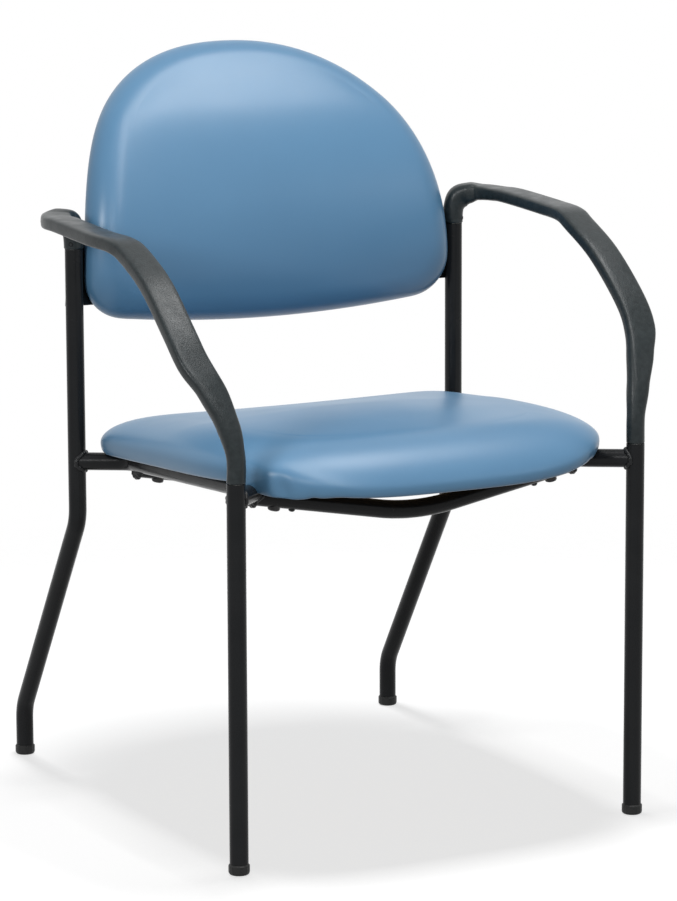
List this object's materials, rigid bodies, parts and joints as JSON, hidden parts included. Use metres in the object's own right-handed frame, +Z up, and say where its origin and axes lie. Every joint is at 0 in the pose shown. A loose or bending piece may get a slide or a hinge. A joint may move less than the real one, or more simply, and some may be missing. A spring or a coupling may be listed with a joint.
{
  "type": "exam side chair",
  "caption": "Exam side chair with arms: bent steel tube frame, moulded arms, upholstered seat and an arched upholstered back with an open gap below it.",
  "frame": {"origin": "on the floor, under the middle of the overall box", "axes": "+Z up, the chair's front towards -Y; left and right in names are as seen from the front, so left is -X"},
  "size_m": [0.5704, 0.5842, 0.79],
  "materials": {
    "steel": "black powder coat, satin",
    "plastic": "black moulded plastic, fine grain",
    "vinyl": "blue upholstery vinyl, satin",
    "foam": "upholstery foam",
    "ply": "plywood, unfinished",
    "zinc": "zinc plated"
  },
  "bodies": {
    "root": {"left_front_leg": "steel", "left_rear_leg": "steel", "left_side_rail": "steel", "left_back_bracket": "steel", "left_arm": "plastic", "left_front_arm_spigot": "zinc", "left_front_glide": "plastic", "front_left_seat_bolt": "zinc", "front_left_seat_spacer": "plastic", "front_left_seat_tee_nut": "zinc", "left_rear_arm_spigot": "zinc", "left_rear_glide": "plastic", "rear_left_seat_bolt": "zinc", "rear_left_seat_spacer": "plastic", "rear_left_seat_tee_nut": "zinc", "upper_left_back_bolt": "zinc", "upper_left_back_tee_nut": "zinc", "lower_left_back_bolt": "zinc", "lower_left_back_tee_nut": "zinc", "right_front_leg": "steel", "right_rear_leg": "steel", "right_side_rail": "steel", "right_back_bracket": "steel", "right_arm": "plastic", "right_front_arm_spigot": "zinc", "right_front_glide": "plastic", "front_right_seat_bolt": "zinc", "front_right_seat_spacer": "plastic", "front_right_seat_tee_nut": "zinc", "right_rear_arm_spigot": "zinc", "right_rear_glide": "plastic", "rear_right_seat_bolt": "zinc", "rear_right_seat_spacer": "plastic", "rear_right_seat_tee_nut": "zinc", "upper_right_back_bolt": "zinc", "upper_right_back_tee_nut": "zinc", "lower_right_back_bolt": "zinc", "lower_right_back_tee_nut": "zinc", "front_crossbar": "steel", "rear_crossbar": "steel", "seat_board": "ply", "seat_foam": "foam", "seat_cover": "vinyl", "back_board": "ply", "back_foam": "foam", "back_cover": "vinyl", "back_rear_panel": "vinyl"}
  },
  "joints": []
}
